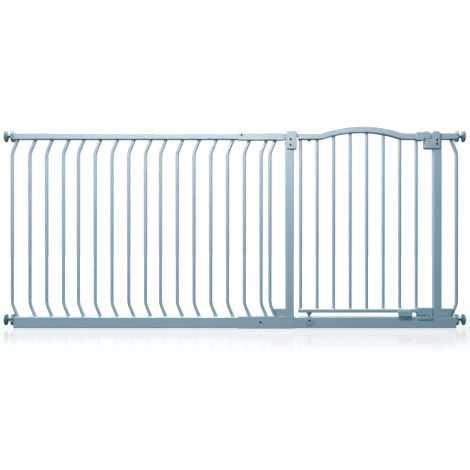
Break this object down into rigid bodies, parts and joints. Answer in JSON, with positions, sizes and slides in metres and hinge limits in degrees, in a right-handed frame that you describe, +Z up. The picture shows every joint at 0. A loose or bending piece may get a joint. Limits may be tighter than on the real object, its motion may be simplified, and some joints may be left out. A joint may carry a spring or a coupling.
{
  "type": "safety baby gate",
  "caption": "Wide pressure-fit safety gate: bowed bars between rails, a barred door with an arched top rail on a lift hinge, latch, and screw pads at the corners.",
  "frame": {"origin": "on the floor plane, midway between the outer faces of the left and right wall pads, in the middle plane of the rails", "axes": "+X along the gate from the extension towards the latch side, +Y away from the viewer, the way the door opens, +Z up"},
  "size_m": [1.7806, 0.0444, 0.782],
  "materials": {
    "frame_paint": "satin powder coat, blue grey",
    "door_paint": "satin powder coat, blue grey",
    "cover_plastic": "moulded, satin, blue grey",
    "slider_plastic": "moulded with grip ribs, blue grey",
    "nut_plastic": "moulded, satin, dark blue grey",
    "pad_rubber": "matt, dark blue grey",
    "steel": "zinc plated, threaded"
  },
  "bodies": {
    "gate_frame": {"frame_bottom_rail": "frame_paint", "hinge_post": "frame_paint", "latch_post": "frame_paint", "hinge_side_top_tube": "frame_paint", "latch_side_top_tube": "frame_paint", "hinge_side_bar": "frame_paint", "latch_side_bar": "frame_paint", "top_joining_channel": "frame_paint", "bottom_joining_channel": "frame_paint", "extension_top_rail": "frame_paint", "extension_bottom_rail": "frame_paint", "extension_bar_01": "frame_paint", "extension_bar_02": "frame_paint", "extension_bar_03": "frame_paint", "extension_bar_04": "frame_paint", "extension_bar_05": "frame_paint", "extension_bar_06": "frame_paint", "extension_bar_07": "frame_paint", "extension_bar_08": "frame_paint", "extension_bar_09": "frame_paint", "extension_bar_10": "frame_paint", "extension_bar_11": "frame_paint", "extension_bar_12": "frame_paint", "extension_bar_13": "frame_paint", "extension_bar_14": "frame_paint", "extension_bar_15": "frame_paint", "extension_bar_16": "frame_paint", "upper_hinge_bracket": "cover_plastic", "lower_hinge_socket": "cover_plastic", "latch_receiver": "cover_plastic", "lower_catch": "cover_plastic", "door_stop": "cover_plastic"},
    "door_carrier": {"lower_pivot_stem": "steel"},
    "door_leaf": {"lower_hinge_cam": "cover_plastic", "upper_hinge_pin": "steel", "door_top_rail": "door_paint", "door_bottom_rail": "door_paint", "handle_housing": "cover_plastic", "lower_latch_housing": "cover_plastic", "door_bar_1": "door_paint", "door_bar_2": "door_paint", "door_bar_3": "door_paint", "door_bar_4": "door_paint", "door_bar_5": "door_paint", "door_bar_6": "door_paint", "door_bar_7": "door_paint", "door_bar_8": "door_paint"},
    "lock": {"lock_slider": "slider_plastic"},
    "upper_left_screw": {"upper_left_spindle": "steel", "upper_left_wall_pad": "pad_rubber"},
    "upper_left_nut": {"upper_left_adjusting_nut": "nut_plastic"},
    "upper_right_screw": {"upper_right_spindle": "steel", "upper_right_wall_pad": "pad_rubber"},
    "upper_right_nut": {"upper_right_adjusting_nut": "nut_plastic"},
    "lower_left_screw": {"lower_left_spindle": "steel", "lower_left_wall_pad": "pad_rubber"},
    "lower_left_nut": {"lower_left_adjusting_nut": "nut_plastic"},
    "lower_right_screw": {"lower_right_spindle": "steel", "lower_right_wall_pad": "pad_rubber"},
    "lower_right_nut": {"lower_right_adjusting_nut": "nut_plastic"}
  },
  "joints": [
    {"name": "door_lift", "type": "slide", "parent": "gate_frame", "child": "door_carrier", "axis": [0, 0, 1], "range_m": [0, 0.008]},
    {"name": "door_swing", "type": "hinge", "parent": "door_carrier", "child": "door_leaf", "pos_m": [0.28825, 0, 0], "axis": [0, 0, 1], "range_deg": [0, 90]},
    {"name": "lock_slide", "type": "slide", "parent": "door_leaf", "child": "lock", "axis": [-1, 0, 0], "range_m": [0, 0.008], "stiffness_N_per_m": 150, "springref_m": -0.006},
    {"name": "upper_left_nut_turn", "type": "hinge", "parent": "gate_frame", "child": "upper_left_nut", "pos_m": [-0.86205, 0, 0.7425], "axis": [-1, 0, 0], "range_deg": [-5280, 2400]},
    {"name": "upper_left_screw_out", "type": "slide", "parent": "gate_frame", "child": "upper_left_screw", "axis": [-1, 0, 0], "range_m": [-0.01, 0.022]},
    {"name": "upper_right_nut_turn", "type": "hinge", "parent": "gate_frame", "child": "upper_right_nut", "pos_m": [0.86205, 0, 0.7425], "axis": [1, 0, 0], "range_deg": [-5280, 2400]},
    {"name": "upper_right_screw_out", "type": "slide", "parent": "gate_frame", "child": "upper_right_screw", "axis": [1, 0, 0], "range_m": [-0.01, 0.022]},
    {"name": "lower_left_nut_turn", "type": "hinge", "parent": "gate_frame", "child": "lower_left_nut", "pos_m": [-0.86205, 0, 0.033], "axis": [-1, 0, 0], "range_deg": [-5280, 2400]},
    {"name": "lower_left_screw_out", "type": "slide", "parent": "gate_frame", "child": "lower_left_screw", "axis": [-1, 0, 0], "range_m": [-0.01, 0.022]},
    {"name": "lower_right_nut_turn", "type": "hinge", "parent": "gate_frame", "child": "lower_right_nut", "pos_m": [0.86205, 0, 0.033], "axis": [1, 0, 0], "range_deg": [-5280, 2400]},
    {"name": "lower_right_screw_out", "type": "slide", "parent": "gate_frame", "child": "lower_right_screw", "axis": [1, 0, 0], "range_m": [-0.01, 0.022]}
  ],
  "couplings": [
    {"joint": "upper_left_nut_turn", "follows": "upper_left_screw_out", "rad_per_m": -4188.8},
    {"joint": "upper_right_nut_turn", "follows": "upper_right_screw_out", "rad_per_m": -4188.8},
    {"joint": "lower_left_nut_turn", "follows": "lower_left_screw_out", "rad_per_m": -4188.8},
    {"joint": "lower_right_nut_turn", "follows": "lower_right_screw_out", "rad_per_m": -4188.8}
  ]
}
